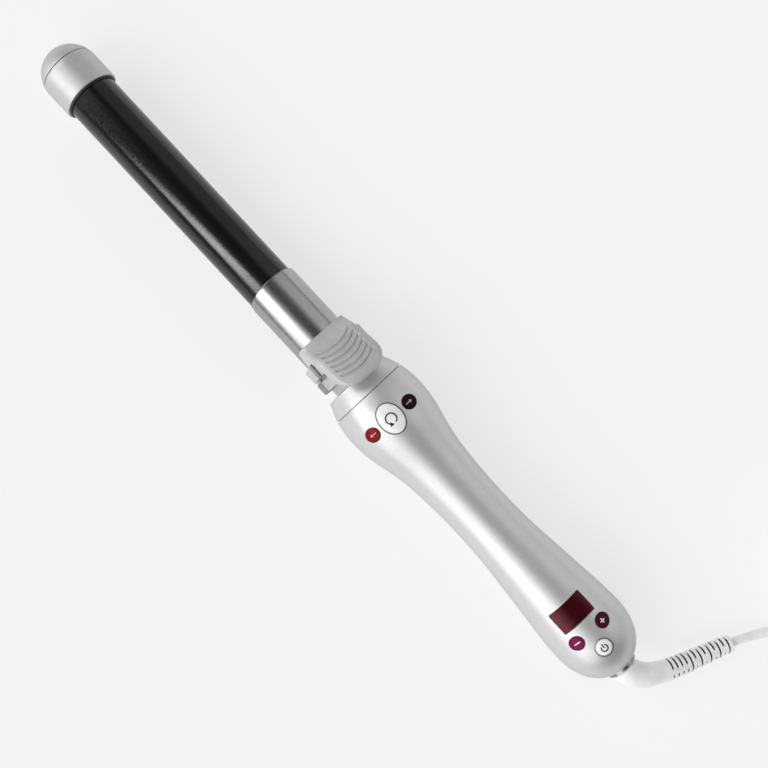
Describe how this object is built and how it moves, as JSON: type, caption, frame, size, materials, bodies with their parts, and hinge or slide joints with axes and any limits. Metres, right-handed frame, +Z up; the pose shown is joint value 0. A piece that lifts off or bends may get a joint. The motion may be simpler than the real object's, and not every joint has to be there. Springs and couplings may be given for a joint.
{
  "type": "curling iron",
  "caption": "Rotating curling iron: a heated barrel with a sprung clip and thumb pad, a waisted handle with a display and push buttons, and a swivel mains lead.",
  "frame": {"origin": "middle of the iron's length and width, on the surface that the handle rests on", "axes": "+X along the barrel towards its tip, +Z up through the buttons, +Y towards the left side"},
  "size_m": [0.4817, 0.1712, 0.0479],
  "materials": {
    "silver_plastic": "satin silver with a fine metallic grain",
    "steel": "plain steel",
    "gearhead_metal": "plain steel",
    "bronze": "plain",
    "trim_silver": "bright silver",
    "window_red": "dark red and clear",
    "black_plastic": "matte",
    "board_green": "lacquered",
    "component_brown": "matte",
    "ring_grey": "satin",
    "barrel_black": "gloss black ceramic coating",
    "tip_silver": "satin silver",
    "heater_metal": "plain",
    "ceramic": "matte ceramic",
    "sensor_orange": "matte",
    "light_grey_plastic": "satin light grey",
    "bright_steel": "bright polished",
    "ivory_plastic": "plain",
    "button_white": "gloss white",
    "button_red": "gloss red",
    "button_maroon": "gloss dark maroon",
    "button_purple": "gloss dark purple",
    "button_magenta": "gloss magenta",
    "white_vinyl": "satin white",
    "tie_grey": "matte",
    "plug_white": "satin white"
  },
  "bodies": {
    "handle": {"handle_shell_top": "silver_plastic", "handle_shell_bottom": "silver_plastic", "shell_screws": "steel", "nose_ring": "silver_plastic", "front_bearing": "bronze", "base_collar": "trim_silver", "display_window": "window_red", "display_module": "black_plastic", "main_board": "board_green", "rear_switches": "black_plastic", "board_parts": "component_brown", "power_button_ring": "ring_grey", "front_board": "board_green", "front_switches": "black_plastic", "gear_frame": "steel", "rear_bearing": "bronze", "cluster_axle": "steel", "motor_gearhead": "gearhead_metal", "motor_can": "steel", "brush_block": "black_plastic", "brushes": "bronze"},
    "barrel": {"barrel_tube": "barrel_black", "tip_ring": "black_plastic", "tip_collar": "tip_silver", "tip_dome": "tip_silver", "heater_bars": "heater_metal", "heater_plate": "ceramic", "temperature_sensor": "sensor_orange", "clip_bracket": "light_grey_plastic", "hinge_pins": "steel", "drive_shaft": "black_plastic", "slip_ring_drum": "black_plastic", "slip_rings": "bronze", "driven_gear": "ivory_plastic", "clip_spring": "steel"},
    "clip": {"clip_blade": "bright_steel", "clip_carrier": "steel", "clip_rivets": "steel", "thumb_pad": "light_grey_plastic"},
    "motor_output": {"motor_shaft": "steel", "motor_pinion": "bronze"},
    "cluster": {"cluster_gear": "ivory_plastic"},
    "go_key": {"go_button": "button_white"},
    "left_key": {"left_button": "button_red"},
    "right_key": {"right_button": "button_maroon"},
    "plus_key": {"plus_button": "button_purple"},
    "minus_key": {"minus_button": "button_magenta"},
    "power_key": {"power_button": "button_white"},
    "lead": {"swivel_core": "white_vinyl", "cord_boot": "white_vinyl", "cord_lead": "white_vinyl", "cord_coil": "white_vinyl", "cord_tail": "white_vinyl", "coil_tie": "tie_grey", "plug_body": "plug_white", "plug_blades": "steel"}
  },
  "joints": [
    {"name": "barrel_spin", "type": "hinge", "parent": "handle", "child": "barrel", "pos_m": [-0.01825, 0, 0.0196], "axis": [1, 0, 0], "continuous": true},
    {"name": "clip_hinge", "type": "hinge", "parent": "barrel", "child": "clip", "pos_m": [0.0019, -0.00207, 0.02733], "axis": [0, -0.9659, -0.2588], "range_deg": [0, 14], "stiffness_Nm_per_rad": 0.25, "springref_deg": -28.65, "deforming": ["clip_spring"]},
    {"name": "motor_spin", "type": "hinge", "parent": "handle", "child": "motor_output", "pos_m": [-0.05025, 0, 0.0196], "axis": [1, 0, 0], "continuous": true},
    {"name": "cluster_spin", "type": "hinge", "parent": "handle", "child": "cluster", "pos_m": [-0.04525, 0, 0.0106], "axis": [1, 0, 0], "continuous": true},
    {"name": "go_press", "type": "slide", "parent": "handle", "child": "go_key", "axis": [0, 0, -1], "range_m": [0, 0.0008], "stiffness_N_per_m": 900, "springref_m": -0.001},
    {"name": "left_press", "type": "slide", "parent": "handle", "child": "left_key", "axis": [0, 0, -1], "range_m": [0, 0.0008], "stiffness_N_per_m": 900, "springref_m": -0.001},
    {"name": "right_press", "type": "slide", "parent": "handle", "child": "right_key", "axis": [0, 0, -1], "range_m": [0, 0.0008], "stiffness_N_per_m": 900, "springref_m": -0.001},
    {"name": "plus_press", "type": "slide", "parent": "handle", "child": "plus_key", "axis": [0, 0, -1], "range_m": [0, 0.0008], "stiffness_N_per_m": 900, "springref_m": -0.001},
    {"name": "minus_press", "type": "slide", "parent": "handle", "child": "minus_key", "axis": [0, 0, -1], "range_m": [0, 0.0008], "stiffness_N_per_m": 900, "springref_m": -0.001},
    {"name": "power_press", "type": "slide", "parent": "handle", "child": "power_key", "axis": [0, 0, -1], "range_m": [0, 0.0008], "stiffness_N_per_m": 900, "springref_m": -0.001},
    {"name": "lead_swivel", "type": "hinge", "parent": "handle", "child": "lead", "pos_m": [-0.19825, 0, 0.0196], "axis": [1, 0, 0], "continuous": true}
  ],
  "couplings": [
    {"joint": "motor_spin", "follows": "barrel_spin", "ratio": 4},
    {"joint": "cluster_spin", "follows": "barrel_spin", "ratio": -2}
  ]
}
